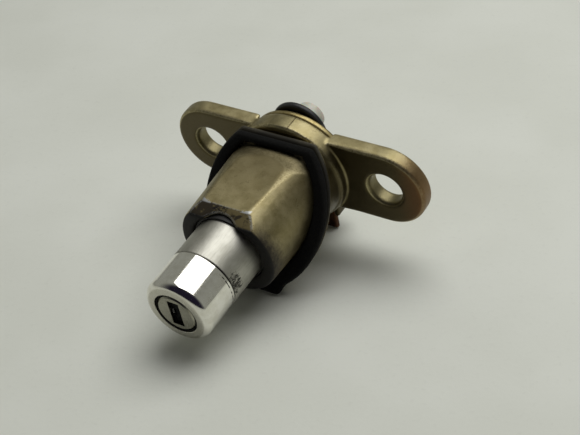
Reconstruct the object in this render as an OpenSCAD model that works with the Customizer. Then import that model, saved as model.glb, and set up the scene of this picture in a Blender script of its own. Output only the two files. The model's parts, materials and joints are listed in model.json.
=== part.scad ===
// Push-button key lock for a vehicle's boot lid.
// The lock axis is Z, the button points to +Z, and z = 0 is the flange's rear face.

/* [Flange] */
// Distance between the two ear holes
hole_spacing = 50; // [48:1:56]
// Radius of each ear's end
ear_r = 10.5; // [9.5:0.5:12]
// Thickness of the flange
flange_t = 4.4; // [3.5:0.1:6]
// Radius of each ear hole
ear_hole_r = 4.4; // [3:0.1:5]

/* [Casting] */
// Radius of the boss behind the seal plate
boss_r = 14.65; // [14.6:0.05:15.5]
// Height of the boss front above the flange's rear face
boss_z = 6.8; // [6:0.1:7.2]
// Radius of the nose at its front rim
nose_r = 12.7; // [12.5:0.1:13]
// Height of the nose's front rim
nose_z = 35.5; // [35.3:0.1:38]
// Growth of the nose's radius for each millimetre towards the flange
nose_draft = 0.044; // [0.02:0.002:0.05]
// Distance of the nose's flat from the lock axis
flat_y = 11.1; // [10.9:0.1:11.5]
// Radius of the bore for the button
bore_r = 9.4; // [9.4:0.05:9.6]

/* [Slanted seal] */
// Angle between the seal plate and the flange
seal_tilt = 34.6; // [25:0.1:38]
// Height at which the seat of the gasket crosses the lock axis
seal_z = 17.3; // [17:0.1:19]
// Radius of the seal plate and the gasket, seen along the lock axis
seal_r = 17; // [16.5:0.1:18]
// Thickness of the seal plate
plate_t = 1.2; // [1:0.1:1.6]
// Thickness of the rubber gasket
gasket_t = 2; // [1.5:0.1:3]

/* [Button] */
// Radius of the button
button_r = 8.75; // [8.7:0.01:8.76]
// Height of the button's face
face_z = 56.9; // [56.5:0.1:58]
// Depth of the polished cap's skirt
cap_h = 11.1; // [9:0.1:12]
// Radius of the rounded edge of the cap
cap_edge_r = 2; // [1:0.1:2.4]
// Travel of the button
button_travel = 6; // [4:0.1:6]

/* [Key plug] */
// Radius of the key plug
plug_r = 5; // [4.9:0.05:5]
// Width of the keyway
keyway_w = 3.1; // [2.8:0.1:3.2]
// Height of the keyway
keyway_h = 7.3; // [7:0.1:7.4]
// Number of wafers
wafer_count = 5; // [3:1:5]
// Distance from one wafer to the next
wafer_pitch = 3.5; // [2.5:0.1:3.5]

/* [Cam and roller] */
// Radius of the cam's disc
cam_r = 13.3; // [12:0.1:13.5]
// Radius of the cam's round lobe
lobe_r = 7.5; // [6.5:0.1:8]
// Distance of the lobe and roller from the lock axis
crank_y = 8.2; // [8:0.1:8.8]
// Radius of the roller
roller_r = 3.7; // [3:0.1:3.7]

/* [Release lever] */
// Distance of the lever's pivot from the lock axis
pivot_y = 15; // [15:0.1:15.5]
// Distance of the lever's foot from the lock axis
foot_y = 23; // [20:0.1:25]
// Half width of the lever at its pivot
lever_half_w = 6.4; // [5:0.1:6.5]

/* [Hidden] */
$fn = 96;
eps = 0.01;
far = 60;
run_gap = 0.05;          // running clearance on a radius

// Housing
cover_t = 1.9;
cover_r = 14.2;
cavity_r = 9;
cavity_top = 5.2;
web_top = 8.2;
web_hole_r = 4.5;
nose_base_r = nose_r + nose_draft * (nose_z - cover_t);
seal_flat_top = 13;
seal_flat_bottom = -17.3;
seal_centre_y = -0.5;
seal_corner_x = 10;          // where the wider corners leave the circle
seal_corner_y = -13.5;
seal_foot_x = 7.6;           // half width of the flat bottom
chamfer_z = nose_z - 3.5;    // where the flat's front chamfer starts
chamfer_y = 8.95;            // where it meets the rim
rib_half_w = 1;
rib_r = 8.95;
rib_bottom = 15;
bush_bottom = 27.3;
bush_top = nose_z - 0.8;
screw_x = 11.8;
screw_r = 1.2;
screw_top = 5.8;
screw_head_r = 2;
screw_head_t = 1;
screw_slot_w = 0.5;
screw_slot_t = 0.5;

// Button sleeve
cap_wall = 1;
cap_face_t = 1.5;
cap_fit_gap = 0.03;          // gap between the cap's skirt and the sleeve
seal_gap_r = 5.7;
plug_seal_gap = 0.15;        // gap between the plug and its seal
plug_seal_t = cap_face_t - 0.4;
shoulder_r = bore_r - 0.1;
shoulder_bottom = 24.5;
shoulder_top = 27.1;
tube_r = 7;
tube_bore_r = 5.5;
tube_bottom = 15;
plug_seat = 28;
tail_r = 3.4;
tail_bottom = 19.5;
plug_bevel = 0.3;
keyway_floor = plug_seat + 2;
wafer_relief_r = 5.9;
wafer_relief_end = 1.5;      // how far the relief goes past the first and last wafer
wafer_first = 34;
wafer_t = 1;
wafer_lift = 0.55;           // how far a wafer stands out of the plug
wafer_half_w = 2.95;
wafer_tab_x = 3.9;
wafer_tab_y = 1;
wafer_tab_h = 0.7;
wafer_spring_x = 3.5;
wafer_spring_r = 0.36;
wafer_spring_wire_r = 0.09;
wafer_spring_top = 0.35;
wafer_spring_l = 2.7;
wafer_pocket_w = 4.8;        // pocket in the plug for a tab and its spring
clip_bottom = 23.4;
clip_t = 0.8;
clip_inner_r = 2.8;
clip_outer_r = 4.9;
clip_opening = 2.6;

// Spindle
spindle_w = 4.4;
spindle_bottom = -4.4;
spindle_top = 18.4;
spindle_bevel = 0.6;
collar_r = 3.3;
tongue_t = 1.5;
tongue_w = 6;
tongue_top = 22.4;
cross_pin_z = 21;
cross_pin_r = 0.6;

// Shutter
shutter_x = -1.25;
shutter_z = face_z - 1;
shutter_t = 0.5;
shutter_pin_r = 0.3;
shutter_pin_l = 8.4;
shutter_barrel_r = 0.45;
shutter_spring_w = 1.6;      // width of the gap for the shutter's coil
shutter_spring_r = 0.41;
shutter_spring_wire_r = 0.06;

// Cam
cam_top = -0.1;
cam_t = 0.7;
lobe_t = 1.5;
hub_r = 6;
hub_top = 4.6;
hub_groove_z = 2.1;
hub_groove_h = 0.8;
hub_groove_r = 5.2;
hub_clip_r = 7.4;
hub_clip_opening = 4;
crank_pin_r = 1.5;
roller_top = -1.7;
roller_h = 4.8;
rivet_head_r = 2.3;
rivet_head_t = 0.7;

// Lever
pivot_z = -2.4;
pivot_r = 1;
pin_groove_r = pivot_r - 0.3;
pin_groove_t = 0.5;
pin_head_t = 0.7;
lever_hub_r = 2;
leg_top_y = 3.2;
leg_half_w = 3;
leg_root_y = -9;             // where the leg starts to be narrower than the hub
leg_z = -6.5;
leg_t = 1.5;
web_front = 1.2;             // front of the web, behind the pivot
web_t = 3;
foot_t = 1.4;
heel_y = 3.3;                // front of the heel, behind the pivot
heel_t = 1.9;
heel_drop = 2.9;
lug_x = 6.8;
lug_t = 1.4;
lug_w = 4.3;
lug_past_pivot = 2.2;
lug_root_y = 9;
lug_bottom = -4.4;
spring_gap = 2.4;            // half width of the gap for the lever's coil
lever_spring_r = 1.55;
lever_spring_wire_r = 0.32;

// Springs
spring_r = 8.2;
spring_wire_r = 0.5;
spring_turns = 6;

// Points of a ring of the wire at turn t of a helix along Z
function helix_ring(r, pitch, wire_r, t, sides) = [
    for (k = [0 : sides - 1])
        let (b = 360 * k / sides, radius = r + wire_r * cos(b))
            [radius * cos(360 * t), radius * sin(360 * t), pitch * t + wire_r * sin(b)]
];

// A coil of round wire along Z that starts at z = 0
module coil(r, wire_r, turns, height, steps, sides) {
    pitch = (height - 2 * wire_r) / turns;
    rings = round(turns * steps);
    points = [for (i = [0 : rings]) each helix_ring(r, pitch, wire_r, i / steps, sides)];
    walls = [
        for (i = [0 : rings - 1], k = [0 : sides - 1])
            let (m = (k + 1) % sides, here = i * sides, there = here + sides)
                each [[here + k, here + m, there + m], [here + k, there + m, there + k]]
    ];
    first = [for (k = [sides - 1 : -1 : 0]) k];
    last = [for (k = [0 : sides - 1]) rings * sides + k];
    translate([0, 0, wire_r])
        polyhedron(points, concat(walls, [first, last]));
}

// A cylinder between two radii
module tube(r_out, r_in, h) {
    difference() {
        cylinder(r = r_out, h = h);
        translate([0, 0, -1])
            cylinder(r = r_in, h = h + 2);
    }
}

// A cylinder along X, centred on x = 0
module x_bar(r, length) {
    rotate([0, 90, 0])
        cylinder(r = r, h = length, center = true);
}

// A cylinder along Y, centred on y = 0
module y_bar(r, length) {
    rotate([90, 0, 0])
        cylinder(r = r, h = length, center = true);
}

// A retaining ring with an open side towards -Y
module retaining_ring(r_out, r_in, t, opening) {
    difference() {
        tube(r_out, r_in, t);
        translate([-opening / 2, -r_out - 1, -1])
            cube([opening, r_out + 1, t + 2]);
    }
}

// The slab between two distances from the gasket's seat
module seal_slab(low, high) {
    translate([0, 0, seal_z])
        rotate([-seal_tilt, 0, 0])
            translate([-far, -far, low])
                cube([2 * far, 2 * far, high - low]);
}

// Upright block with the outline of the seal plate and gasket: a circle with a flat top, and a flat
// bottom with wider corners
module seal_block() {
    intersection() {
        union() {
            translate([0, seal_centre_y, 0])
                cylinder(r = seal_r, h = far);
            linear_extrude(far)
                polygon([
                    [-seal_corner_x, seal_corner_y],
                    [-seal_foot_x, seal_flat_bottom],
                    [seal_foot_x, seal_flat_bottom],
                    [seal_corner_x, seal_corner_y]
                ]);
        }
        translate([-far, seal_flat_bottom, 0])
            cube([2 * far, seal_flat_top - seal_flat_bottom, far]);
    }
}

// The nose's outer shape, grown by a clearance
module nose_shape(grow) {
    slope = atan((flat_y - chamfer_y) / (nose_z - chamfer_z));
    difference() {
        translate([0, 0, cover_t + run_gap])
            cylinder(r1 = nose_base_r + grow, r2 = nose_r + grow, h = nose_z - cover_t - run_gap);
        translate([-far, flat_y + grow, 0])
            cube([2 * far, far, far]);
        translate([0, flat_y + grow, chamfer_z])
            rotate([slope, 0, 0])
                translate([-far, 0, -1])
                    cube([2 * far, far, far]);
    }
}

module ears() {
    half = hole_spacing / 2;
    difference() {
        linear_extrude(flange_t)
            union() {
                for (side = [-1, 1])
                    translate([side * half, 0])
                        circle(r = ear_r);
                square([hole_spacing, 2 * ear_r], center = true);
            }
        for (side = [-1, 1])
            translate([side * half, 0, -1])
                cylinder(r = ear_hole_r, h = flange_t + 2);
    }
}

module housing() {
    color("#a39a6b")
        difference() {
            union() {
                ears();
                translate([0, 0, cover_t + run_gap])
                    cylinder(r = boss_r, h = boss_z - cover_t - run_gap);
                nose_shape(0);
                intersection() {
                    seal_block();
                    seal_slab(-plate_t, 0);
                }
            }
            translate([0, 0, -1])
                cylinder(r = cover_r + run_gap, h = cover_t + run_gap + 1);
            cylinder(r = cavity_r, h = cavity_top);
            cylinder(r = web_hole_r, h = far);
            difference() {
                translate([0, 0, web_top])
                    cylinder(r = bore_r, h = far);
                translate([-rib_half_w, -bore_r - 1, web_top - 1])
                    cube([2 * rib_half_w, bore_r + 1 - rib_r, bush_bottom - web_top + 1 - run_gap]);
            }
            for (side = [-1, 1])
                translate([side * screw_x, 0, 0])
                    cylinder(r = screw_r + run_gap, h = screw_top + 0.2);
        }
}

module panel_gasket() {
    color("#222222")
        difference() {
            intersection() {
                seal_block();
                seal_slab(0, gasket_t);
            }
            nose_shape(run_gap);
        }
}

module nose_bush() {
    color("#8a8a84")
        translate([0, 0, bush_bottom])
            tube(bore_r - run_gap, button_r + run_gap, bush_top - bush_bottom);
}

module rear_cover() {
    lug_y = pivot_y + lug_past_pivot;
    color("#b0a468")
        difference() {
            union() {
                cylinder(r = cover_r, h = cover_t);
                for (side = [-1, 1])
                    translate([side * (lug_x + lug_t / 2) - lug_t / 2, -lug_y, 0]) {
                        cube([lug_t, lug_y - lug_root_y, cover_t]);
                        translate([0, 0, lug_bottom])
                            cube([lug_t, lug_w, cover_t - lug_bottom]);
                    }
            }
            translate([0, 0, -1])
                cylinder(r = hub_r + run_gap, h = cover_t + 2);
            for (side = [-1, 1])
                translate([side * screw_x, 0, 0]) {
                    translate([0, 0, -1])
                        cylinder(r = screw_r + run_gap, h = cover_t + 2);
                    translate([0, 0, -eps])
                        cylinder(
                            r1 = screw_head_r + run_gap,
                            r2 = screw_r + run_gap,
                            h = screw_head_t + eps
                        );
                }
            translate([0, -pivot_y, pivot_z])
                x_bar(pivot_r + run_gap, far);
        }
}

module cover_screws() {
    color("#8d8d88")
        for (side = [-1, 1])
            translate([side * screw_x, 0, 0])
                difference() {
                    union() {
                        cylinder(r = screw_r, h = screw_top);
                        cylinder(r1 = screw_head_r, r2 = screw_r, h = screw_head_t);
                    }
                    translate([-screw_slot_w / 2, -screw_head_r - 1, -1])
                        cube([screw_slot_w, 2 * screw_head_r + 2, 1 + screw_slot_t]);
                }
}

module return_spring() {
    color("#77777a")
        translate([0, 0, web_top + run_gap])
            coil(spring_r, spring_wire_r, spring_turns, shoulder_bottom - web_top - 2 * run_gap, 20, 8);
}

// The cap's half section: a cup with a rounded front edge
function cap_section() = concat(
    [[button_r - cap_wall, face_z - cap_h], [button_r, face_z - cap_h]],
    [
        for (a = [0 : 15 : 90])
            [button_r - cap_edge_r * (1 - cos(a)), face_z - cap_edge_r * (1 - sin(a))]
    ],
    [
        [seal_gap_r, face_z],
        [seal_gap_r, face_z - cap_face_t],
        [button_r - cap_wall, face_z - cap_face_t]
    ]
);

module button_cap() {
    color("#d8d8d4")
        rotate_extrude()
            polygon(cap_section());
}

module button_sleeve() {
    cap_bottom = face_z - cap_h;
    sleeve_top = face_z - cap_face_t - run_gap;
    color("#b8b6ae")
        difference() {
            union() {
                translate([0, 0, tube_bottom])
                    cylinder(r = tube_r, h = shoulder_bottom - tube_bottom + eps);
                translate([0, 0, shoulder_bottom])
                    cylinder(r = shoulder_r, h = shoulder_top - shoulder_bottom);
                translate([0, 0, shoulder_top - eps])
                    cylinder(r = button_r, h = cap_bottom - shoulder_top);
                translate([0, 0, shoulder_top])
                    cylinder(r = button_r - cap_wall - cap_fit_gap, h = sleeve_top - shoulder_top);
            }
            translate([0, 0, plug_seat - run_gap])
                cylinder(r = plug_r + run_gap, h = far);
            translate([0, 0, wafer_first - wafer_relief_end])
                cylinder(
                    r = wafer_relief_r,
                    h = wafer_pitch * (wafer_count - 1) + 2 * wafer_relief_end
                );
            cylinder(r = tail_r + run_gap, h = far);
            translate([0, 0, tube_bottom - 1])
                cylinder(r = tube_bore_r, h = clip_bottom + clip_t + run_gap - tube_bottom + 1);
            translate([-rib_half_w - 0.1, -far, tube_bottom])
                cube([2 * rib_half_w + 0.2, far - rib_r + 0.1, shoulder_top - tube_bottom + eps]);
        }
}

module plug_seal() {
    color("#1c1c1c")
        translate([0, 0, face_z - cap_face_t + 0.1])
            tube(seal_gap_r - run_gap, plug_r + plug_seal_gap, plug_seal_t);
}

// Slot that holds one wafer and its spring
module wafer_slot() {
    t = wafer_t + 0.1;
    translate([-wafer_half_w - run_gap, -far / 2, -t / 2])
        cube([2 * (wafer_half_w + run_gap), far, t]);
    translate([0, -wafer_pocket_w / 2, -t / 2])
        cube([wafer_tab_x + 0.2, wafer_pocket_w, t]);
}

module lock_plug() {
    plug_top = face_z - 0.1;
    color("#a5a49c")
        difference() {
            union() {
                translate([0, 0, tail_bottom])
                    cylinder(r = tail_r, h = plug_seat - tail_bottom + eps);
                translate([0, 0, plug_seat])
                    cylinder(r = plug_r, h = plug_top - plug_bevel - plug_seat);
                translate([0, 0, plug_top - plug_bevel])
                    cylinder(r1 = plug_r, r2 = plug_r - plug_bevel, h = plug_bevel);
            }
            translate([-keyway_w / 2, -keyway_h / 2, keyway_floor])
                cube([keyway_w, keyway_h, far]);
            for (i = [0 : wafer_count - 1])
                translate([0, 0, wafer_first + i * wafer_pitch])
                    wafer_slot();
            translate([shutter_x, 0, shutter_z]) {
                y_bar(shutter_pin_r + run_gap, shutter_pin_l + 0.2);
                y_bar(shutter_barrel_r + 0.1, keyway_h);
            }
            translate([0, 0, clip_bottom - run_gap])
                tube(plug_r, clip_inner_r - run_gap, clip_t + 2 * run_gap);
            translate([-plug_r, -tongue_t / 2 - run_gap, tail_bottom - 1])
                cube([2 * plug_r, tongue_t + 2 * run_gap, tongue_top - tail_bottom + 1.1]);
            translate([0, 0, cross_pin_z])
                y_bar(cross_pin_r + run_gap, 2 * plug_r);
        }
}

module wafer() {
    linear_extrude(wafer_t, center = true)
        difference() {
            union() {
                intersection() {
                    translate([0, wafer_lift])
                        circle(r = plug_r - run_gap);
                    square([2 * wafer_half_w, 4 * plug_r], center = true);
                }
                translate([0, wafer_tab_y])
                    square([wafer_tab_x, wafer_tab_h]);
            }
            translate([-keyway_w / 2 - 0.2, -keyway_h / 2 + 0.05])
                square([keyway_w + 0.4, keyway_h]);
        }
}

module wafer_tumblers() {
    color("#c2a24e")
        for (i = [0 : wafer_count - 1])
            translate([0, 0, wafer_first + i * wafer_pitch])
                wafer();
}

module wafer_springs() {
    color("#8a8a90")
        for (i = [0 : wafer_count - 1])
            translate([wafer_spring_x, wafer_spring_top, wafer_first + i * wafer_pitch])
                rotate([90, 0, 0])
                    coil(wafer_spring_r, wafer_spring_wire_r, 5, wafer_spring_l, 10, 5);
}

module keyway_shutter() {
    reach = keyway_w / 2 - shutter_x - 0.1;
    color("#3c3c3c")
        translate([shutter_x, 0, shutter_z])
            difference() {
                union() {
                    translate([0, -keyway_h / 2 + 0.1, -shutter_t / 2])
                        cube([reach, keyway_h - 0.2, shutter_t]);
                    y_bar(shutter_barrel_r, keyway_h - 0.2);
                }
                y_bar(shutter_pin_r + run_gap, far);
                cube([2, shutter_spring_w, 2], center = true);
            }
}

module shutter_pin() {
    color("#9a9a9a")
        translate([shutter_x, 0, shutter_z])
            y_bar(shutter_pin_r, shutter_pin_l);
}

module shutter_spring() {
    color("#8a8a90")
        translate([shutter_x, shutter_spring_w / 2 - 0.1, shutter_z])
            rotate([90, 0, 0])
                coil(shutter_spring_r, shutter_spring_wire_r, 3, shutter_spring_w - 0.2, 12, 5);
}

module plug_circlip() {
    color("#5a5a5c")
        translate([0, 0, clip_bottom])
            retaining_ring(clip_outer_r, clip_inner_r, clip_t, clip_opening);
}

module drive_spindle() {
    color("#8f8f8a")
        difference() {
            union() {
                translate([-spindle_w / 2, -spindle_w / 2, spindle_bottom + spindle_bevel])
                    cube([spindle_w, spindle_w, spindle_top - spindle_bottom - spindle_bevel + eps]);
                translate([0, 0, spindle_bottom])
                    cylinder(
                        r1 = spindle_w / 2 - spindle_bevel,
                        r2 = spindle_w / 2,
                        h = spindle_bevel + eps
                    );
                translate([0, 0, spindle_top])
                    cylinder(r = collar_r, h = tail_bottom - spindle_top - run_gap);
                translate([-tongue_w / 2, -tongue_t / 2, spindle_top])
                    cube([tongue_w, tongue_t, tongue_top - spindle_top]);
            }
            translate([0, 0, cross_pin_z])
                y_bar(cross_pin_r + run_gap, far);
        }
}

module spindle_pin() {
    color("#6e6e70")
        translate([0, 0, cross_pin_z])
            y_bar(cross_pin_r, 2 * tail_r - 0.2);
}

module cam_plate() {
    hole_w = spindle_w + 2 * run_gap;
    color("#2a2a2b")
        difference() {
            union() {
                translate([0, 0, cam_top - cam_t])
                    cylinder(r = cam_r, h = cam_t);
                translate([0, crank_y, cam_top - lobe_t])
                    cylinder(r = lobe_r, h = lobe_t);
                translate([0, 0, cam_top - eps])
                    cylinder(r = hub_r, h = hub_top - cam_top);
            }
            translate([0, 0, hub_groove_z])
                tube(hub_r + 1, hub_groove_r, hub_groove_h);
            translate([-hole_w / 2, -hole_w / 2, -far / 2])
                cube([hole_w, hole_w, far]);
            translate([0, crank_y, -far / 2])
                cylinder(r = crank_pin_r + run_gap, h = far);
        }
}

module cam_circlip() {
    color("#5a5a5c")
        translate([0, 0, hub_groove_z + run_gap])
            retaining_ring(
                hub_clip_r,
                hub_groove_r + run_gap,
                hub_groove_h - 2 * run_gap,
                hub_clip_opening
            );
}

module crank_pin() {
    head_top = roller_top - roller_h - 0.1;
    color("#a8a8a2")
        translate([0, crank_y, 0]) {
            translate([0, 0, head_top - rivet_head_t])
                cylinder(r = rivet_head_r, h = rivet_head_t + eps);
            translate([0, 0, head_top])
                cylinder(r = crank_pin_r, h = cam_top - 0.1 - head_top);
        }
}

module crank_roller() {
    color("#e4e2d6")
        translate([0, crank_y, roller_top - roller_h])
            tube(roller_r, crank_pin_r + run_gap, roller_h);
}

// Side view of the lever: x is the row's Y, y is the row's Z
module lever_profile() {
    translate([-pivot_y, pivot_z])
        circle(r = lever_hub_r);
    translate([-pivot_y - web_front, leg_z])
        square([web_t, pivot_z - leg_z]);
    translate([-pivot_y - heel_y, -heel_drop])
        square([heel_t, heel_drop + foot_t / 2]);
    translate([-foot_y, -foot_t / 2])
        square([foot_y - pivot_y - heel_y + heel_t, foot_t]);
    translate([-pivot_y - web_front, leg_z])
        square([pivot_y + web_front + leg_top_y, leg_t]);
}

module release_lever() {
    color("#8a5a3a")
        difference() {
            rotate([90, 0, 90])
                linear_extrude(2 * lever_half_w, center = true)
                    lever_profile();
            for (side = [-1, 1])
                translate([side * (leg_half_w + far / 2), far / 2 + leg_root_y, 0])
                    cube([far, far, far], center = true);
            translate([0, -pivot_y, pivot_z]) {
                x_bar(pivot_r + run_gap, far);
                x_bar(lever_hub_r + 0.3, 2 * spring_gap);
            }
        }
}

module lever_pin() {
    grip = lug_x + lug_t;
    color("#9c9c98")
        translate([0, -pivot_y, pivot_z])
            rotate([0, 90, 0])
                difference() {
                    union() {
                        translate([0, 0, -grip - 1])
                            cylinder(r = pivot_r, h = 2 * grip + 1.1);
                        translate([0, 0, grip + 0.1])
                            cylinder(r = pivot_r + 0.7, h = pin_head_t);
                    }
                    translate([0, 0, -grip - 0.15 - pin_groove_t])
                        tube(pivot_r + 1, pin_groove_r, pin_groove_t);
                }
}

module lever_clip() {
    grip = lug_x + lug_t;
    color("#5a5a5c")
        translate([-grip - 0.6, -pivot_y, pivot_z])
            rotate([0, 90, 0])
                retaining_ring(pivot_r + 0.9, pin_groove_r + run_gap, pin_groove_t - 0.1, 1.2);
}

module lever_spring() {
    color("#7c7c80")
        translate([-spring_gap + 0.15, -pivot_y, pivot_z])
            rotate([0, 90, 0])
                coil(lever_spring_r, lever_spring_wire_r, 5, 2 * spring_gap - 0.3, 16, 6);
}

housing();
panel_gasket();
nose_bush();
rear_cover();
cover_screws();
return_spring();
button_cap();
button_sleeve();
plug_seal();
lock_plug();
wafer_tumblers();
wafer_springs();
keyway_shutter();
shutter_pin();
shutter_spring();
plug_circlip();
drive_spindle();
spindle_pin();
cam_plate();
cam_circlip();
crank_pin();
crank_roller();
release_lever();
lever_pin();
lever_clip();
lever_spring();
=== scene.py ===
import json
import math

import bpy
import numpy as np
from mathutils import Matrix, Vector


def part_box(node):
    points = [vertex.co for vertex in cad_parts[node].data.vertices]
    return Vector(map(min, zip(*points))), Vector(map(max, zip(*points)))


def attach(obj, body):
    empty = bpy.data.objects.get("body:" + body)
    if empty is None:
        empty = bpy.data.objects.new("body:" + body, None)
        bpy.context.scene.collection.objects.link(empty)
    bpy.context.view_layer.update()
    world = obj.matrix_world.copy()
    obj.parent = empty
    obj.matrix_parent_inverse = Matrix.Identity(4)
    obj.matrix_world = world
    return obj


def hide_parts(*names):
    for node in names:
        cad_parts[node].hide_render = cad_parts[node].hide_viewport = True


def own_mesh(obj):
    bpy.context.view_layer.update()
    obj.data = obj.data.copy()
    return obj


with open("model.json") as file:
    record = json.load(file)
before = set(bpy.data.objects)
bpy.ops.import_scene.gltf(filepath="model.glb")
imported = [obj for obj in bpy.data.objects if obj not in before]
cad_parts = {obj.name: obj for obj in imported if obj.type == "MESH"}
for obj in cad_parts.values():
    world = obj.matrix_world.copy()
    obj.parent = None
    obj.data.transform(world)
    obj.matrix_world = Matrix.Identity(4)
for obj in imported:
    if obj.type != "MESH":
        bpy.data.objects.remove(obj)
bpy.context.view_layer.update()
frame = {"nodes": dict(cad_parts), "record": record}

import openvdb as vdb
from mathutils import Matrix, Vector

MM = 0.001
nodes = frame["nodes"]
body_of = {n: body for body, names in frame["record"]["behaviour"]["bodies"].items() for n in names}
slot_of = {s["node"]: s["material_slot"] for s in frame["record"]["subparts"]}


# ---------------------------------------------------------------- geometry


def adopt(piece, node, material):
    """Gives a new piece its material and its body, and hides the CAD node that it stands for."""
    piece.data.materials.clear()
    piece.data.materials.append(material)
    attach(piece, body_of[node])
    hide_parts(node)
    return piece


def new_object(name, points, faces, normals=None):
    mesh = bpy.data.meshes.new(name)
    mesh.from_pydata(points, [], faces)
    mesh.shade_smooth()
    if normals is not None:
        mesh.normals_split_custom_set_from_vertices(normals)
    piece = bpy.data.objects.new(name, mesh)
    bpy.context.scene.collection.objects.link(piece)
    return piece


def smooth_max(a, b, blend):
    """The larger of two distances, with the edge between them rounded over a blend width."""
    h = np.clip(0.5 - 0.5 * (b - a) / blend, 0, 1)
    return b + (a - b) * h + blend * h * (1 - h)


def smoothstep(x, low, high):
    t = np.clip((x - low) / (high - low), 0, 1)
    return t * t * (3 - 2 * t)


def blurred(values, passes):
    """Softens a grid along its three axes, so that no edge follows the voxels."""
    for axis in (0, 1, 2) * passes:
        values = (np.roll(values, 1, axis) + 2 * values + np.roll(values, -1, axis)) / 4
    return values


class Field:
    """A CAD node's distance field on a grid of voxels, in millimetres."""

    def __init__(self, node, voxel, reach=1.6):
        low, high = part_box(node)
        pad = reach + 3 * voxel
        self.node, self.voxel, self.reach = node, voxel, reach
        self.origin = np.array(low) / MM - pad
        size = np.array(high) / MM + pad - self.origin
        self.shape = tuple(int(n) for n in np.ceil(size / voxel) + 1)
        mesh = nodes[node].data
        mesh.calc_loop_triangles()
        points = np.empty(len(mesh.vertices) * 3, np.float32)
        mesh.vertices.foreach_get("co", points)
        corners = np.empty(len(mesh.loop_triangles) * 3, np.int32)
        mesh.loop_triangles.foreach_get("vertices", corners)
        points = (points.reshape(-1, 3) / MM - self.origin) / voxel
        self.values = self.distances(points, triangles=corners.reshape(-1, 3))
        self.raw = self.values

    def distances(self, points, **faces):
        width = self.reach / self.voxel + 1
        grid = vdb.FloatGrid.createLevelSetFromPolygons(
            np.ascontiguousarray(points, np.float32),
            halfWidth=width,
            transform=vdb.createLinearTransform(1.0),
            **{k: np.ascontiguousarray(v, np.uint32) for k, v in faces.items()}
        )
        values = np.full(self.shape, width, np.float32)
        grid.copyToArray(values)
        return values * self.voxel

    def quads(self, values, level=0.0):
        grid = vdb.FloatGrid(float(values.max()))
        grid.copyFromArray(np.ascontiguousarray(values, np.float32))
        return grid.convertToQuads(isovalue=level)

    def rounded(self, radius):
        """The distances after the outer edges are rounded."""
        points, quads = self.quads(blurred(self.values, 2), -radius)
        return blurred(self.distances(points, quads=quads), 1) - radius

    def axes(self):
        """The grid's coordinates in the row frame, in millimetres."""
        return np.meshgrid(
            *(self.origin[i] + self.voxel * np.arange(self.shape[i]) for i in range(3)),
            indexing="ij", sparse=True
        )

    def sampled(self, values, points):
        """Values of the grid at points of the row frame, by trilinear interpolation."""
        place = (points - self.origin) / self.voxel
        base = np.clip(np.floor(place).astype(int), 0, np.array(self.shape) - 2)
        part = place - base
        total = 0
        for step in np.ndindex(2, 2, 2):
            weight = np.prod(np.where(step, part, 1 - part), axis=1)
            total = total + weight * values[tuple((base + step).T)]
        return total

    def piece(self, wear_depth=0.1, snap=None):
        """A mesh of the solid. Its attribute "wear" is 1 where an edge was rounded most."""
        points, quads = self.quads(self.values)
        points = points * self.voxel + self.origin
        normals = np.stack([self.sampled(g, points) for g in np.gradient(self.values)], axis=1)
        normals /= np.maximum(np.linalg.norm(normals, axis=1, keepdims=True), 1e-9)
        if snap:
            points, normals = snap(points, normals)
        depth = wear_depth(points) if callable(wear_depth) else wear_depth
        wear = np.clip(-self.sampled(self.raw, points) / depth, 0, 1)
        shape = new_object(self.node + "_skin", (points * MM).tolist(), quads.tolist(), normals.tolist())
        layer = shape.data.attributes.new("wear", "FLOAT", "POINT")
        layer.data.foreach_set("value", wear.astype(np.float32))
        return shape


def arc_corner(before, corner, after, radius, steps):
    """Points and normals of a rounded corner of an anticlockwise outline."""
    a, b, c = (np.array(p, float) for p in (before, corner, after))
    u, v = (b - a) / np.linalg.norm(b - a), (c - b) / np.linalg.norm(c - b)
    out_u, out_v = np.array([u[1], -u[0]]), np.array([v[1], -v[0]])
    turn = u[0] * v[1] - u[1] * v[0]
    if radius <= 0 or abs(turn) < 1e-6:
        return [(b, out_u), (b, out_v)]
    side = 1 if turn > 0 else -1
    half = math.atan2(abs(turn), float(u @ v)) / 2
    centre = b - u * radius * math.tan(half) - out_u * side * radius
    ring = []
    for i in range(steps + 1):
        normal = out_u * math.sin((1 - i / steps) * 2 * half) + out_v * math.sin(i / steps * 2 * half)
        normal /= np.linalg.norm(normal)
        ring.append((centre + normal * side * radius, normal))
    return ring


def lathe(name, outline, sides=192, steps=6, centre_y=0):
    """A turned part. The outline runs anticlockwise in (radius, height, rounding)."""
    section = []
    for i, (r, z, rounding) in enumerate(outline):
        before, after = outline[i - 1][:2], outline[(i + 1) % len(outline)][:2]
        section += arc_corner(before, (r, z), after, rounding, steps)
    points, normals, faces = [], [], []
    for k in range(sides):
        turn = 2 * math.pi * k / sides
        c, s = math.cos(turn), math.sin(turn)
        points += [(p[0] * c * MM, (p[0] * s + centre_y) * MM, p[1] * MM) for p, n in section]
        normals += [(n[0] * c, n[0] * s, n[1]) for p, n in section]
    m = len(section)
    for k in range(sides):
        here, there = k * m, (k + 1) % sides * m
        for i in range(m):
            j = (i + 1) % m
            if np.linalg.norm(section[i][0] - section[j][0]) > 1e-5:
                faces.append((here + i, there + i, there + j, here + j))
    return new_object(name, points, faces, normals)


# ---------------------------------------------------------------- materials


def tone(red, green, blue):
    """A colour in the usual 0 to 255 steps, as the linear values that the shaders take."""
    return tuple((v / 255 / 12.92 if v < 10.3 else ((v / 255 + 0.055) / 1.055) ** 2.4)
                 for v in (red, green, blue)) + (1.0,)


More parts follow.
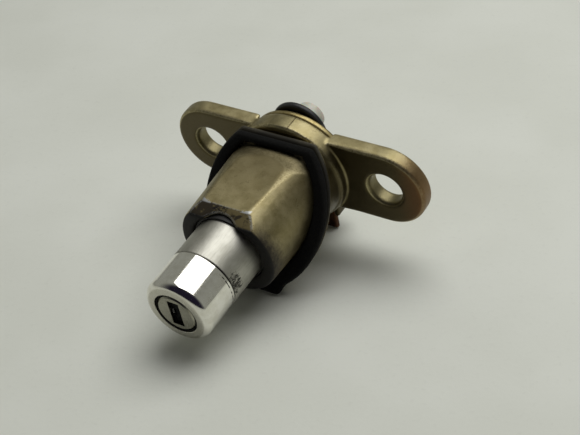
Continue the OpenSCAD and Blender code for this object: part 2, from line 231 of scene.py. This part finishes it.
class Look:
    """A procedural material, and helpers that add nodes to it. Its x, y and z are in millimetres."""

    def __init__(self, name, **uniform):
        self.mat = bpy.data.materials.new(name)
        self.mat.use_nodes = True
        self.tree = self.mat.node_tree
        self.tree.nodes.clear()
        self.shader = self.tree.nodes.new("ShaderNodeBsdfPrincipled")
        output = self.tree.nodes.new("ShaderNodeOutputMaterial")
        self.tree.links.new(self.shader.outputs[0], output.inputs[0])
        for socket, value in uniform.items():
            self.shader.inputs[socket].default_value = value
        place = self.tree.nodes.new("ShaderNodeTexCoord").outputs["Object"]
        self.place = self.add("ShaderNodeVectorMath", [place], operation="SCALE", Scale=1 / MM)
        split = self.tree.nodes.new("ShaderNodeSeparateXYZ")
        self.tree.links.new(self.place, split.inputs[0])
        self.x, self.y, self.z = split.outputs

    def add(self, kind, inputs=(), output=0, **settings):
        node = self.tree.nodes.new(kind)
        for name, value in settings.items():
            if hasattr(node, name) and name[0].islower():
                setattr(node, name, value)
            else:
                self.put(node.inputs[name], value)
        for i, value in enumerate(inputs):
            self.put(node.inputs[i], value)
        return node.outputs[output]

    def put(self, socket, value):
        if isinstance(value, bpy.types.NodeSocket):
            self.tree.links.new(value, socket)
        elif value is not None:
            socket.default_value = value

    def math(self, operation, a, b=None, clamp=False):
        return self.add("ShaderNodeMath", [a, b], operation=operation, use_clamp=clamp)

    def times(self, *values):
        total = values[0]
        for value in values[1:]:
            total = self.math("MULTIPLY", total, value)
        return total

    def plus(self, *values):
        total = values[0]
        for value in values[1:]:
            total = self.math("ADD", total, value)
        return total

    def most(self, *values):
        total = values[0]
        for value in values[1:]:
            total = self.math("MAXIMUM", total, value)
        return total

    def length(self, a, b):
        return self.math("SQRT", self.plus(self.times(a, a), self.times(b, b)))

    def noise(self, scale, detail=2.0, rough=0.5, stretch=(1, 1, 1), shift=0.0):
        """Cloudy noise with about scale patches to a millimetre, drawn out where stretch is small."""
        place = self.add("ShaderNodeMapping", [self.place, (shift, -shift, shift), (0, 0, 0), stretch])
        return self.add("ShaderNodeTexNoise", Vector=place, Scale=scale, Detail=detail, Roughness=rough)

    def band(self, value, low, high, start=0.0, end=1.0):
        """Goes smoothly from start to end as a value goes from low to high. Low can be above high."""
        if low > high:
            low, high, start, end = high, low, end, start
        ends = [value, low, high, start, end]
        return self.add("ShaderNodeMapRange", ends, interpolation_type="SMOOTHSTEP")

    def near(self, value, centre, half, soft):
        """1 within a half width of a value, and 0 past a soft edge."""
        gap = self.math("ABSOLUTE", self.math("SUBTRACT", value, centre))
        return self.band(gap, half + soft, half)

    def mix(self, share, a, b):
        node = self.tree.nodes.new("ShaderNodeMix")
        node.data_type = "RGBA"
        for socket, value in zip((node.inputs[0], node.inputs[6], node.inputs[7]), (share, a, b)):
            self.put(socket, value)
        return node.outputs[2]

    def wear(self):
        return self.add("ShaderNodeAttribute", output=2, attribute_name="wear")

    def bump(self, height, depth, normal=None):
        distance = depth * MM
        return self.add("ShaderNodeBump", Strength=1.0, Distance=distance, Height=height, Normal=normal)

    def done(self, colour, roughness=None, normal=None, metallic=None):
        sockets = self.shader.inputs
        self.put(sockets["Base Color"], colour)
        self.put(sockets["Roughness"], roughness)
        self.put(sockets["Normal"], normal)
        self.put(sockets["Metallic"], metallic)
        return self.mat


# Colours of the casting. The ear faces' olive is painted shade, and the black serves for grime and for
# painted shade
GOLD_LIGHT, GOLD_DARK = tone(168, 157, 119), tone(136, 125, 87)
EAR_FACE_SHADE, CREAM = tone(76, 67, 44), tone(118, 111, 82)
BROWN, BLACK_GRIME_AND_SHADE = tone(66, 52, 30), tone(14, 11, 8)
GREY_METAL = tone(168, 170, 168)
# The casting's measures: the nose's front, its flat and the bevel at the flat's front end,
# the ears with their holes, and the slanted plane that the gasket lies on
NOSE_Z, CHAMFER_Z, FLAT_Y, CHAMFER_Y, CORNER_X = 35.5, 32.0, 11.1, 8.95, 6.6
EAR_X, FLANGE_T, HOLE_R = 25.0, 4.4, 4.4
SEAL_Z, SEAL_TILT = 17.3, math.radians(34.6)


def casting():
    look = Look("yellow_passivated_zinc")
    x, y, z = look.x, look.y, look.z
    along = look.math("ABSOLUTE", x)
    radius = look.length(x, y)
    mottle, grain = look.noise(0.3, 5, 0.62), look.noise(2.4, 3, 0.7)
    clouds = look.noise(0.1, 2, 0.5, shift=7)
    colour = look.mix(look.band(mottle, 0.26, 0.74), GOLD_DARK, GOLD_LIGHT)
    colour = look.mix(look.times(look.band(clouds, 0.45, 0.7), 0.25), colour, tone(124, 116, 84))
    wear = look.wear()
    # Worn edges turn lighter, and the same mask paints a highlight along crisp edges such as the nose's
    # crease
    worn_edges_and_highlight = look.times(look.band(wear, 0.25, 0.8), look.band(grain, 0.38, 0.55))
    colour = look.mix(look.times(worn_edges_and_highlight, 0.45), colour, tone(222, 210, 166))
    # Painted shade on the rear of the nose and on the ears' front faces, pale hole walls and one coppery
    # ear end
    on_nose = look.band(radius, 14.2, 13.4)
    colour = look.mix(look.times(on_nose, look.band(z, 31, 13), 0.6), colour, tone(98, 88, 64))
    hole = look.length(look.math("SUBTRACT", along, EAR_X), y)
    shaded_ear_face = look.times(look.band(radius, 14.9, 15.4), look.near(z, FLANGE_T, 0.1, 0.12),
                      look.band(hole, HOLE_R + 0.2, HOLE_R + 0.6))
    colour = look.mix(look.times(shaded_ear_face, 0.9), colour, EAR_FACE_SHADE)
    colour = look.mix(look.times(look.band(hole, HOLE_R + 0.6, HOLE_R + 0.3), 0.75), colour, CREAM)
    colour = look.mix(look.times(look.band(x, 27, 35), 0.7), colour, tone(112, 76, 46))
    # Painted shade: the flat looks straight up and is darkened against the sides
    shaded_flat = look.times(on_nose, look.band(y, FLAT_Y - 0.7, FLAT_Y - 0.1))
    colour = look.mix(look.times(shaded_flat, 0.35), colour, tone(92, 83, 56))
    # Fine dark pits, and hairlines of grime that follow a slow noise's contours
    pits = look.band(look.noise(3.2, 2, 0.6, shift=3), 0.66, 0.72)
    hairs = look.times(look.near(look.noise(0.22, 4, 0.6, shift=15), 0.5, 0.0015, 0.004),
                       look.band(look.noise(0.5, 2, 0.5, shift=21), 0.5, 0.56))
    colour = look.mix(look.plus(look.times(pits, 0.6), look.times(hairs, 0.45)), colour, BROWN)
    # Parting line and a greyer facet on the boss
    on_boss = look.times(look.band(radius, 14.0, 14.4), look.band(y, 10, 12), look.band(z, 8.2, 7.6))
    colour = look.mix(look.times(on_boss, look.near(x, -0.9, 2.6, 0.3), 0.4), colour, tone(110, 104, 76))
    seam = look.times(on_boss, look.near(x, 1.9, 0.09, 0.08))
    colour = look.mix(look.times(seam, 0.7), colour, BROWN)
    # Grime and painted shade between the right ear and the gasket, and a painted shade band on the
    # casting's rim beside the gasket
    pocket_grime_and_shade = look.times(look.near(radius, 15.2, 1.4, 0.3), look.band(x, 6, 10), look.band(y, 11, 8),
                        look.band(z, FLANGE_T, FLANGE_T + 0.6))
    colour = look.mix(look.times(pocket_grime_and_shade, 0.75), colour, tone(52, 44, 24))
    across = look.plus(z, look.times(y, math.tan(SEAL_TILT)))
    outside = look.most(look.band(radius, 13.6, 14.1), look.band(y, FLAT_Y + 0.15, FLAT_Y + 0.4))
    gasket_edge_shade = look.times(look.band(across, SEAL_Z - 0.95, SEAL_Z - 0.7), outside, look.band(z, 31, 29))
    colour = look.mix(look.times(gasket_edge_shade, 0.92), colour, tone(16, 14, 10))
    # Painted shade darkening the nose's low side, grime by the rim on its low right side, and grime on
    # the front chamfer
    low_side_shade = look.times(on_nose, look.band(y, 6, -5))
    colour = look.mix(look.times(low_side_shade, 0.6), colour, tone(62, 52, 30))
    smear = look.band(look.plus(look.times(look.noise(0.8, 4, 0.7, shift=11), 6), z), 32.6, 38.4)
    low_side = look.times(on_nose, look.band(y, 10, 6.5), look.band(x, 1, 7), smear)
    colour = look.mix(look.times(low_side, 0.96), colour, tone(30, 22, 11))
    fall = look.times(look.math("SUBTRACT", z, CHAMFER_Z), (FLAT_Y - CHAMFER_Y) / (NOSE_Z - CHAMFER_Z))
    slant = look.math("SUBTRACT", FLAT_Y, fall)
    chamfer = look.times(look.near(look.math("SUBTRACT", y, slant), 0, 0.25, 0.15),
                         look.band(z, CHAMFER_Z - 0.1, CHAMFER_Z + 0.15), on_nose)
    blotch = look.plus(look.noise(0.7, 3, 0.6, shift=5), look.times(x, 0.02))
    patches = look.mix(look.band(blotch, 0.45, 0.62), tone(50, 42, 24), tone(112, 100, 64))
    colour = look.mix(chamfer, colour, patches)
    crumbs = look.band(look.noise(2.2, 3, 0.7, shift=9), 0.5, 0.56)
    scabs = look.times(chamfer, look.near(x, -1.2, 1.6, 0.8), crumbs)
    colour = look.mix(scabs, colour, BLACK_GRIME_AND_SHADE)
    # Painted shade with grime: the nose's front face and the inside of its bore are blackened
    nose_front_shade_and_grime = look.times(look.band(z, NOSE_Z - 0.55, NOSE_Z - 0.2), on_nose)
    bore_shade = look.times(look.band(radius, 9.85, 9.65), look.band(z, 8, 9))
    blackened_shade_and_grime = look.most(nose_front_shade_and_grime, bore_shade)
    colour = look.mix(blackened_shade_and_grime, colour, BLACK_GRIME_AND_SHADE)
    # Bare metal at the flat's front corners, and bare metal with a painted highlight along the worn
    # edges
    ragged = look.times(look.math("SUBTRACT", grain, 0.5), 1.6)
    corner = look.plus(look.math("SUBTRACT", z, CHAMFER_Z - 0.9), ragged,
                       look.times(look.math("SUBTRACT", along, CORNER_X), 0.35))
    bare = look.times(look.band(corner, 0, 0.2), look.near(along, CORNER_X - 0.9, 1.5, 0.2),
                      look.band(y, FLAT_Y - 0.25, FLAT_Y - 0.1), look.band(z, 33.5, 33))
    worn_rim_and_highlight = look.times(worn_edges_and_highlight, look.band(z, 29.5, 31.5), look.band(y, 8.6, 10), 0.55)
    colour = look.mix(look.most(bare, worn_rim_and_highlight), colour, GREY_METAL)
    # The grime masks and the painted shade masks make the surface rougher and less metallic
    dirt_and_shade = look.most(blackened_shade_and_grime, chamfer, low_side, gasket_edge_shade)
    shine = look.band(mottle, 0.3, 0.7, 0.4, 0.48)
    roughness = look.plus(shine, look.times(dirt_and_shade, 0.25), look.times(pits, 0.1))
    metallic = look.band(dirt_and_shade, 0, 1, 0.92, 0.2)
    normal = look.bump(grain, 0.03)
    normal = look.bump(mottle, 0.05, normal)
    normal = look.bump(look.times(seam, -1), 0.05, normal)
    return look.done(colour, roughness, normal, metallic)


def rubber():
    look = Look("gasket_rubber", **{"Specular IOR Level": 0.25})
    fine, clouds = look.noise(3, 3, 0.7), look.noise(0.35, 3, 0.6, shift=4)
    share = look.times(look.band(clouds, 0.42, 0.7), look.band(fine, 0.4, 0.65), 0.3)
    colour = look.mix(share, tone(3, 3, 2), tone(22, 20, 16))
    colour = look.mix(look.times(look.band(look.wear(), 0.2, 0.9), 0.25), colour, tone(26, 24, 20))
    normal = look.bump(clouds, 0.25, look.bump(fine, 0.08))
    return look.done(colour, look.band(fine, 0.3, 0.7, 0.8, 1.0), normal)


def metal(name, light, dark, roughness, grain_scale=2.0, stretch=(1, 1, 1), depth=0.01, spots=0.3,
          edge=(205, 203, 196), low_darkening=0.0):
    """Plain metal: two tones in soft patches, a grain, fine spots, worn edges, and darker towards the
    bottom.
    """
    look = Look(name, Metallic=1.0)
    patches = look.noise(0.4, 4, 0.6, shift=2)
    grain = look.noise(grain_scale, 3, 0.6, stretch)
    spot = look.band(look.noise(2.7, 2, 0.6, shift=6), 0.66, 0.72)
    colour = look.mix(look.band(patches, 0.3, 0.7), dark, light)
    colour = look.mix(look.times(spot, spots), colour, tone(40, 36, 30))
    colour = look.mix(look.times(look.band(look.wear(), 0.3, 0.8), 0.5), colour, tone(*edge))
    # Darker towards the bottom, by as much as the last argument says
    colour = look.mix(look.times(look.band(look.y, -5, -9), low_darkening), colour, tone(34, 28, 17))
    shine = look.band(grain, 0.3, 0.7, roughness - 0.05, roughness + 0.05)
    rough = look.plus(shine, look.times(spot, 0.1))
    return look.done(colour, rough, look.bump(grain, depth))


def plastic(name, light, dark, roughness, edge, depth=0.01, subsurface=0.0):
    soft = {"Subsurface Weight": subsurface, "Subsurface Scale": 2 * MM}
    look = Look(name, **soft)
    patches, grain = look.noise(0.5, 3, 0.6, shift=1), look.noise(4, 2, 0.6)
    colour = look.mix(look.band(patches, 0.35, 0.65), dark, light)
    colour = look.mix(look.times(look.band(look.wear(), 0.2, 0.8), 0.6), colour, edge)
    rough = look.band(grain, 0.3, 0.7, roughness - 0.06, roughness + 0.06)
    return look.done(colour, rough, look.bump(grain, depth))


FACE_Z, CAP_H, BUTTON_R = 56.9, 11.1, 8.75
CAP_BACK = FACE_Z - CAP_H


def polished():
    look = Look("polished_cap", Metallic=1.0)
    x, y, z = look.x, look.y, look.z
    haze, scratches = look.noise(0.5, 3, 0.6), look.noise(3, 2, 0.6, (1, 1, 0.08))
    colour = look.mix(look.band(haze, 0.3, 0.7), tone(222, 219, 208), tone(236, 234, 226))
    specks = look.band(look.noise(3.5, 2, 0.6, shift=8), 0.72, 0.76)
    colour = look.mix(look.times(specks, 0.4), colour, tone(90, 84, 72))
    # Dark dirt in the seam at the cap's back edge, and a fine second line on its right side
    right = look.times(look.band(x, 5.5, 7), look.band(y, 6, 4.5))
    broken = look.band(look.noise(0.8, 3, 0.6, shift=12), 0.4, 0.5)
    seam = look.times(look.band(z, CAP_BACK + 0.3, CAP_BACK + 0.15), look.band(x, 1, 5))
    line = look.times(look.near(z, CAP_BACK + 0.85, 0.09, 0.08), right, broken)
    dark = look.most(seam, line)
    colour = look.mix(dark, colour, tone(26, 24, 22))
    shaded_ear_face = look.band(z, FACE_Z - 0.25, FACE_Z - 0.05)
    colour = look.mix(look.times(shaded_ear_face, 0.6), colour, tone(160, 156, 140))
    shine = look.band(scratches, 0.3, 0.7, 0.07, 0.15)
    rough = look.plus(shine, look.times(shaded_ear_face, 0.2), look.times(dark, 0.4))
    return look.done(colour, rough, look.bump(haze, 0.003))


def satin_barrel():
    look = Look("brushed_barrel", Metallic=1.0)
    x, y, z = look.x, look.y, look.z
    brushed = look.noise(5, 3, 0.7, (1, 1, 0.05))
    patches = look.noise(0.3, 4, 0.6, (1, 1, 0.5), 3)
    colour = look.mix(look.band(patches, 0.3, 0.7), tone(164, 162, 151), tone(186, 184, 174))
    colour = look.mix(look.times(look.band(brushed, 0.55, 0.7), 0.25), colour, tone(120, 117, 106))
    # Dark scuffs behind the seam on the low right side
    scuffed = look.times(look.near(z, 44.4, 0.9, 2.2), look.near(y, 1.2, 0.9, 3.2), look.band(x, 6, 7.5))
    specks = look.plus(look.noise(1.7, 5, 0.75, (1, 1, 0.6), 5), look.times(scuffed, 0.2))
    marks = look.times(look.band(specks, 0.6, 0.74), look.band(scuffed, 0.02, 0.5))
    seam = look.times(look.band(z, CAP_BACK - 0.45, CAP_BACK - 0.15), look.band(x, 1, 5))
    dark = look.most(marks, seam)
    colour = look.mix(look.times(dark, 0.85), colour, tone(34, 32, 30))
    rough = look.plus(look.band(brushed, 0.3, 0.7, 0.42, 0.54), look.times(dark, 0.3))
    normal = look.bump(brushed, 0.012, look.bump(patches, 0.05))
    return look.done(colour, rough, normal)


looks = {
    "casting": casting(),
    "gasket_rubber": rubber(),
    "polished": polished(),
    "satin_steel": satin_barrel(),
    "plug_metal": metal("plug_face", tone(162, 160, 146), tone(142, 139, 124), 0.3, 3, (1, 0.1, 1)),
    "passivated_steel": metal("passivated_sheet", tone(176, 162, 116), tone(136, 121, 78), 0.42,
                              edge=(92, 80, 50), low_darkening=0.85),
    "plain_steel": metal("drawn_steel", tone(172, 170, 164), tone(138, 136, 130), 0.3, 3, (1, 1, 0.2)),
    "spring_steel": metal("oiled_spring", tone(128, 128, 130), tone(88, 86, 84), 0.32),
    "black_oxide": metal("black_oxide", tone(16, 16, 16), tone(8, 8, 8), 0.65, edge=(40, 40, 40)),
    "wafer_brass": metal("stamped_brass", tone(104, 84, 44), tone(64, 50, 26), 0.45, 3, (0.2, 1, 1)),
    "cam_plastic": plastic("cam_black", tone(13, 13, 13), tone(7, 7, 7), 0.45, tone(58, 58, 56)),
    "nylon": plastic("natural_nylon", tone(214, 214, 200), tone(198, 197, 182), 0.35,
                     tone(226, 226, 216), subsurface=0.4),
    "copper_steel": metal("copper_flash", tone(96, 64, 46), tone(54, 37, 27), 0.5, spots=0.6,
                          edge=(104, 76, 58)),
    "grey_bush": plastic("grey_acetal", tone(34, 33, 31), tone(20, 19, 17), 0.6, tone(52, 51, 48)),
}
for name, node in nodes.items():
    node.data.materials.clear()
    node.data.materials.append(looks[slot_of[name]])


# ---------------------------------------------------------------- pieces


def ear_share(radius, z):
    """1 on the front half of the ears, where the casting's edges are rounded most."""
    return smoothstep(radius, 14.6, 19.5) * smoothstep(z, 6.4, 5.4) * smoothstep(z, 0.6, 2)


def housing_skin():
    voxel, fine_r, ear_r = 0.24, 0.22, 0.7
    draft, nose_r = 0.044, 12.7
    field = Field("housing", voxel)
    x, y, z = field.axes()
    radius = np.sqrt(x * x + y * y)
    share = ear_share(radius, z)
    values = field.rounded(fine_r) * (1 - share) + field.rounded(ear_r) * share
    # The crease beside the nose's flat is crisp at the front and fades towards the gasket
    cone = radius - nose_r - draft * (NOSE_Z - z)
    softness = 0.3 + 0.7 * smoothstep(z, 26, 16) + 3 * smoothstep(z, 17, 12)
    crease = smooth_max(y - FLAT_Y + 0 * x, cone, softness)
    in_front = z > SEAL_Z - y * math.tan(SEAL_TILT) + 0.5
    field.values = np.where(in_front, np.maximum(values, crease), values).astype(np.float32)

    def depth(points):
        part = ear_share(np.hypot(points[:, 0], points[:, 1]), points[:, 2])
        return 0.41 * (fine_r * (1 - part) + ear_r * part)

    return adopt(field.piece(depth), "housing", looks["casting"])


def rounded_skin(node, voxel, radius, snap=None):
    field = Field(node, voxel, reach=max(1.0, 3 * radius))
    field.values = field.rounded(radius)
    return adopt(field.piece(0.41 * radius, snap), node, looks[slot_of[node]])


def on_barrel(points, normals):
    """Puts the barrel's outside exactly on its cylinder, short of its shoulder and its step."""
    shoulder_z, step_z, near = 27.4, 45.5, 0.12
    radius, z = np.hypot(points[:, 0], points[:, 1]), points[:, 2]
    outside = (np.abs(radius - BUTTON_R) < near) & (z > shoulder_z) & (z < step_z)
    points[outside, :2] *= (BUTTON_R / radius[outside])[:, None]
    normals[outside] = np.column_stack([points[outside, :2] / BUTTON_R, np.zeros(outside.sum())])
    return points, normals


housing_skin()
rounded_skin("panel_gasket", 0.25, 0.4)
rounded_skin("rear_cover", 0.2, 0.22)
rounded_skin("cam_plate", 0.16, 0.2)
rounded_skin("release_lever", 0.18, 0.25)
rounded_skin("button_sleeve", 0.22, 0.15, on_barrel)


def coil_skin(node, coil_r, wire_r, turns, steps=72, sides=16):
    """A spring along Z with a round wire, between the ends of its CAD node, and those two ends."""
    low, high = (corner[2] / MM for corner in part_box(node))
    rise = (high - low - 2 * wire_r) / turns / steps
    points, normals = [], []
    for i in range(turns * steps + 1):
        turn = 2 * math.pi * i / steps
        for k in range(sides):
            around = 2 * math.pi * k / sides
            out, up = math.cos(around), math.sin(around)
            radius = coil_r + wire_r * out
            height = low + wire_r + rise * i + wire_r * up
            points.append((radius * math.cos(turn) * MM, radius * math.sin(turn) * MM, height * MM))
            normals.append((out * math.cos(turn), out * math.sin(turn), up))
    faces = []
    for here in range(0, len(points) - sides, sides):
        for k in range(sides):
            m = (k + 1) % sides
            faces.append((here + k, here + m, here + sides + m, here + sides + k))
    faces += [tuple(range(sides))[::-1], tuple(range(len(points) - sides, len(points)))]
    piece = new_object(node + "_skin", points, faces, normals)
    return adopt(piece, node, looks[slot_of[node]]), low, high


# The return spring, with a mesh of its own
spring, spring_low, spring_high = coil_skin("return_spring", coil_r=8.2, wire_r=0.5, turns=6)
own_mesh(spring)


def turned(node, outline, **detail):
    return adopt(lathe(node + "_skin", outline, **detail), node, looks[slot_of[node]])


skirt_r, seal_r, cap_face = BUTTON_R - 1, 5.7, 1.5
turned("button_cap", [
    (skirt_r, CAP_BACK, 0.08),
    (BUTTON_R, CAP_BACK, 0.14),
    (BUTTON_R, FACE_Z, 2.0),
    (seal_r, FACE_Z, 0.15),
    (seal_r, FACE_Z - cap_face, 0.05),
    (skirt_r, FACE_Z - cap_face, 0.1),
], sides=256, steps=16)


def turned_ring(node, inner, outer, low, high, roundings, **detail):
    """A ring with its four corners rounded, from the inner low one anticlockwise."""
    corners = ((inner, low), (outer, low), (outer, high), (inner, high))
    turned(node, [(r, z, rounding) for (r, z), rounding in zip(corners, roundings)], **detail)


turned_ring("nose_bush", 8.8, 9.35, 27.3, 34.7, (0.15, 0.1, 0.15, 0.2))
turned_ring("plug_seal", 5.15, 5.65, 55.5, 56.6, (0.1, 0.1, 0.15, 0.15))
turned_ring("crank_roller", 1.55, 3.7, -6.5, -1.7, (0.2, 0.45, 0.45, 0.2), centre_y=8.2)


# ---------------------------------------------------------------- floor, camera and light


def tilted_up(degrees):
    """Straight up for a lock that lies with its flat on top and its button this far nose down."""
    tilt = math.radians(degrees)
    return Vector((0, math.cos(tilt), -math.sin(tilt)))


# UP levels the camera and the lights
UP = tilted_up(18.4)
CAMERA_AT = Vector((0.15857, 0.21392, 0.19678))
CAMERA_AIM = Vector((0.00095, -0.0105, 0.0119))
forward = (CAMERA_AIM - CAMERA_AT).normalized()
# The floor has a tilt of its own. It touches the gasket's low edge and the release lever's foot
FLOOR_UP = tilted_up(10.3)
AWAY = (forward - UP * forward.dot(UP)).normalized()
RIGHT = AWAY.cross(UP)


def toward(right, away, up):
    """A direction given as seen from the camera, in its level frame."""
    return (RIGHT * right + AWAY * away + UP * up).normalized()


def facing(direction, across):
    """A rotation whose local Z points along a direction and whose X lies along another."""
    z = direction.normalized()
    y = z.cross(across).normalized()
    return Matrix((y.cross(z), y, z)).transposed().to_quaternion()


def rest_height():
    """How far along FLOOR_UP the object's lowest point lies."""
    lowest = 1.0
    for node in nodes.values():
        points = np.empty(len(node.data.vertices) * 3, np.float32)
        node.data.vertices.foreach_get("co", points)
        lowest = min(lowest, float((points.reshape(-1, 3) @ np.array(FLOOR_UP)).min()))
    return lowest


def floor():
    look = Look("pale_floor", Roughness=0.75)
    soft, fine = look.noise(0.02, 3, 0.5), look.noise(0.6, 4, 0.6)
    colour = look.mix(look.band(soft, 0.3, 0.7), tone(224, 226, 215), tone(231, 233, 223))
    colour = look.mix(look.times(look.band(fine, 0.55, 0.75), 0.1), colour, tone(180, 180, 170))
    mat = look.done(colour, None, look.bump(fine, 0.05))
    # Seen from behind, the floor lets everything through, so that it hides no view of the object
    clear = look.tree.nodes.new("ShaderNodeBsdfTransparent")
    side = look.tree.nodes.new("ShaderNodeNewGeometry").outputs["Backfacing"]
    both = look.tree.nodes.new("ShaderNodeMixShader")
    output = next(n for n in look.tree.nodes if n.type == "OUTPUT_MATERIAL")
    for i, value in enumerate((side, look.shader.outputs[0], clear.outputs[0])):
        look.put(both.inputs[i], value)
    look.put(output.inputs[0], both.outputs[0])
    half = 2.0
    corners = [(-half, -half, 0), (half, -half, 0), (half, half, 0), (-half, half, 0)]
    plane = new_object("floor", corners, [(0, 1, 2, 3)])
    plane.data.materials.append(mat)
    plane.rotation_mode = "QUATERNION"
    plane.rotation_quaternion = facing(FLOOR_UP, RIGHT)
    plane.location = FLOOR_UP * rest_height()


def softbox(name, direction, distance, width, depth, power):
    lamp = bpy.data.lights.new(name, "AREA")
    lamp.shape = "RECTANGLE"
    lamp.size, lamp.size_y, lamp.energy = width, depth, power
    light = bpy.data.objects.new(name, lamp)
    light.location = CAMERA_AIM + direction * distance
    light.rotation_mode = "QUATERNION"
    light.rotation_quaternion = facing(direction, RIGHT)
    bpy.context.scene.collection.objects.link(light)


def room():
    """A pale room that is dark on the camera's side."""
    world = bpy.data.worlds.new("room")
    world.use_nodes = True
    bpy.context.scene.world = world
    tree = world.node_tree
    back = next(n for n in tree.nodes if n.type == "BACKGROUND")
    place = tree.nodes.new("ShaderNodeTexCoord").outputs["Generated"]
    dot = tree.nodes.new("ShaderNodeVectorMath")
    dot.operation = "DOT_PRODUCT"
    dot.inputs[1].default_value = toward(-0.15, -1, 0.25)
    tree.links.new(place, dot.inputs[0])
    share = tree.nodes.new("ShaderNodeMapRange")
    share.interpolation_type = "SMOOTHSTEP"
    share.inputs[1].default_value, share.inputs[2].default_value = 0.05, 0.65
    tree.links.new(dot.outputs["Value"], share.inputs[0])
    blend = tree.nodes.new("ShaderNodeMix")
    blend.data_type = "RGBA"
    blend.inputs[6].default_value = (0.25, 0.255, 0.23, 1)
    blend.inputs[7].default_value = (0.012, 0.01, 0.02, 1)
    tree.links.new(share.outputs[0], blend.inputs[0])
    tree.links.new(blend.outputs[2], back.inputs[0])


floor()
room()
softbox("overhead", toward(0.17, 0.05, 0.97), distance=0.6, width=0.6, depth=0.5, power=2.7)

camera = bpy.data.objects.new("camera", bpy.data.cameras.new("camera"))
bpy.context.scene.collection.objects.link(camera)
camera.data.lens = 83.0
camera.data.clip_start, camera.data.clip_end = 0.01, 10.0
camera.location = CAMERA_AT
camera.rotation_mode = "QUATERNION"
camera.rotation_quaternion = facing(-forward, RIGHT)
bpy.context.scene.camera = camera
bpy.context.scene.view_settings.view_transform = "Standard"
